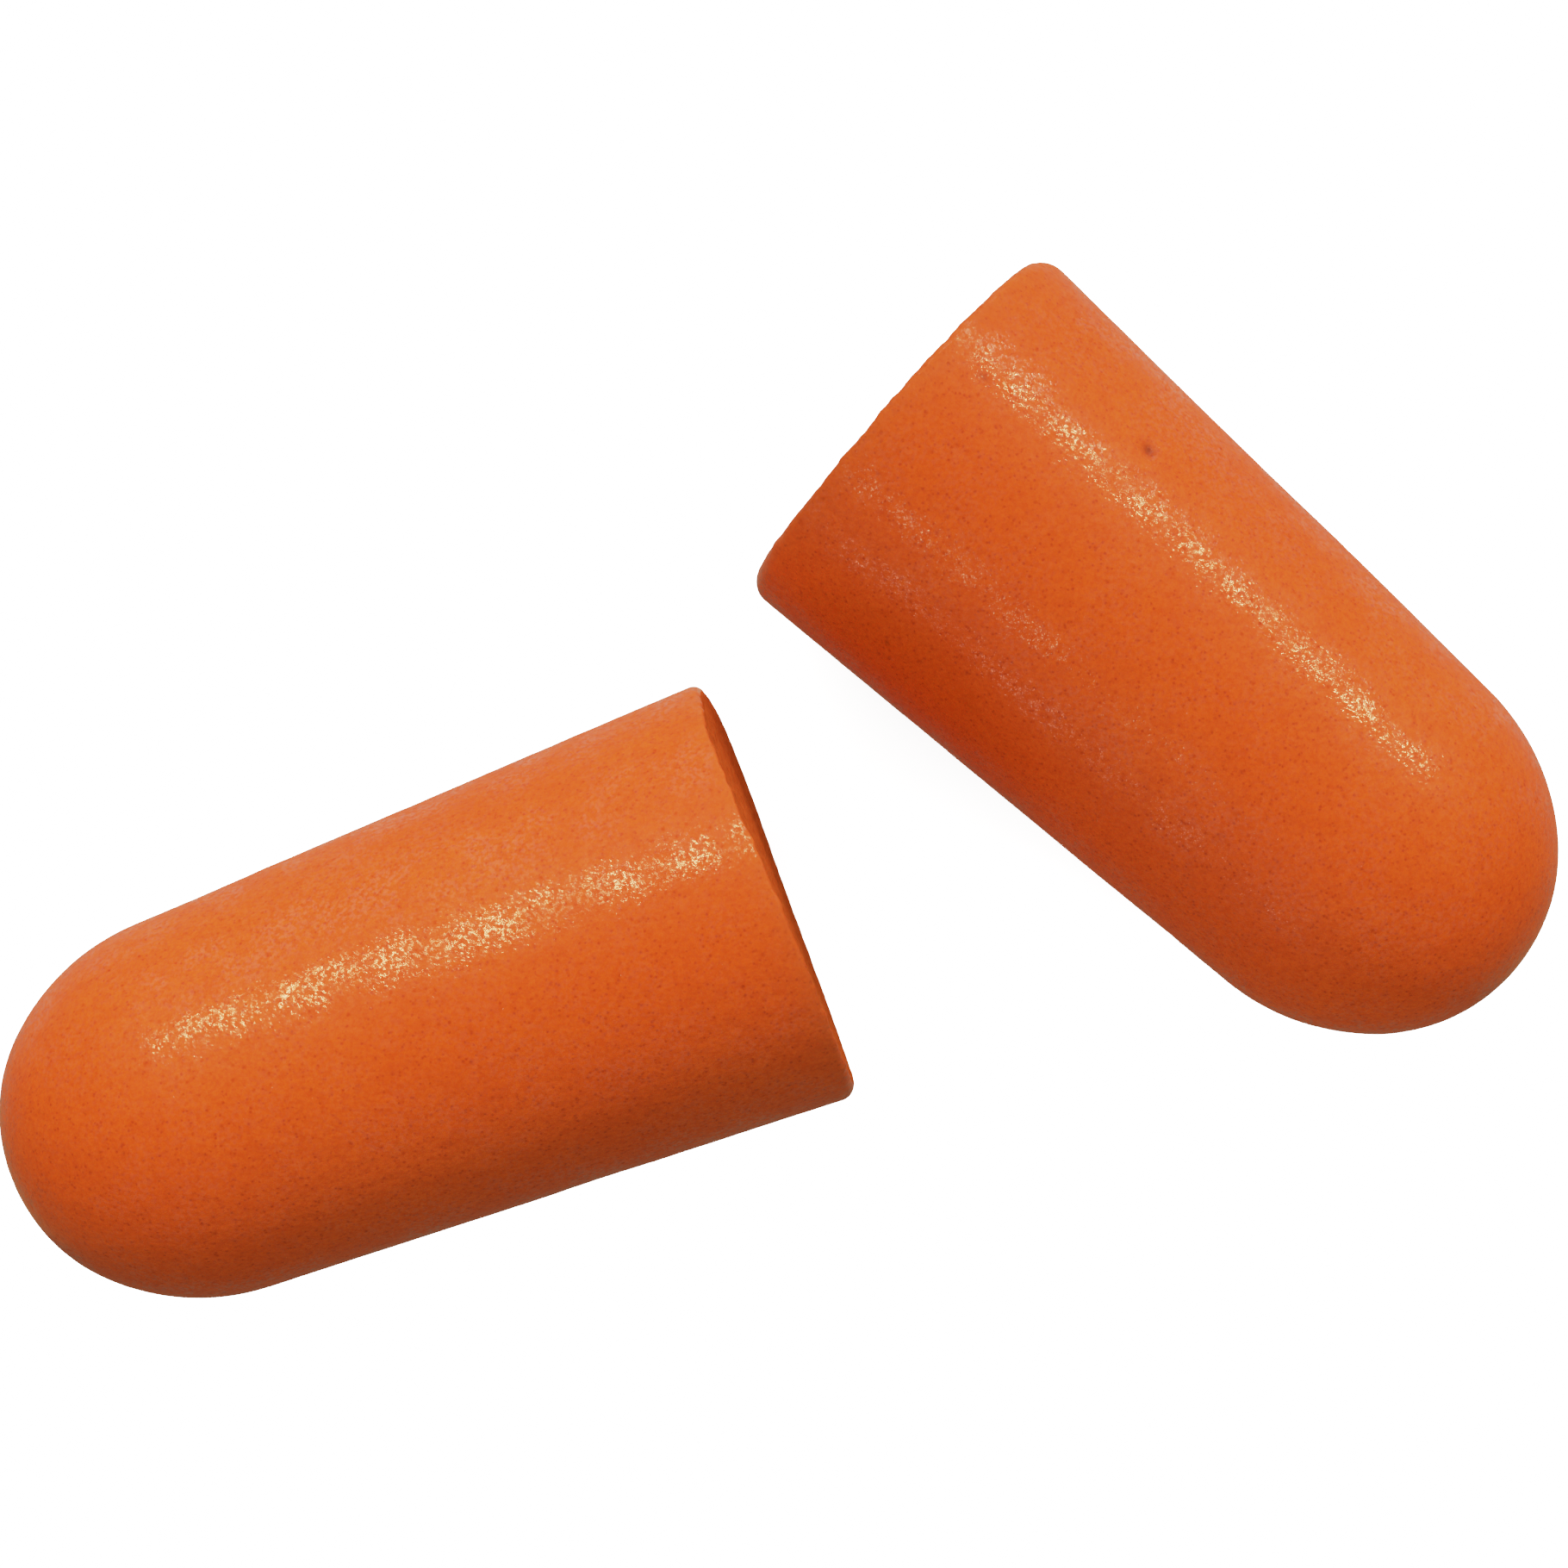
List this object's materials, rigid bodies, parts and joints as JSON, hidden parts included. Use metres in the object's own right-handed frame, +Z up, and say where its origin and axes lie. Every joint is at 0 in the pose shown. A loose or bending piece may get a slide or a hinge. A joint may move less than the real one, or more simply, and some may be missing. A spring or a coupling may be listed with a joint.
{
  "type": "foam ear plugs",
  "caption": "Pair of orange tapered foam ear plugs with rounded noses and flat cut ends, lying on their sides.",
  "frame": {"origin": "on the surface that the plugs lie on, at the middle of the ground the pair covers", "axes": "+Z up, square to the surface; +X along the pair's longest side, from the left plug's nose towards the right plug's nose; +Y away from the viewer, from the left plug's flat end towards the right plug's flat end"},
  "size_m": [0.046, 0.0306, 0.0131],
  "materials": {
    "foam_left": "matte orange slow-recovery polyurethane foam with a fine-pored moulded skin",
    "foam_right": "matte orange slow-recovery polyurethane foam with a fine-pored moulded skin"
  },
  "bodies": {
    "left_plug": {"ear_plug_left": "foam_left"},
    "right_plug": {"ear_plug_right": "foam_right"}
  },
  "joints": [
    {"name": "right_plug_lift", "type": "slide", "parent": "left_plug", "child": "right_plug", "axis": [0, 0, 1], "range_m": [0, 0.03]}
  ]
}
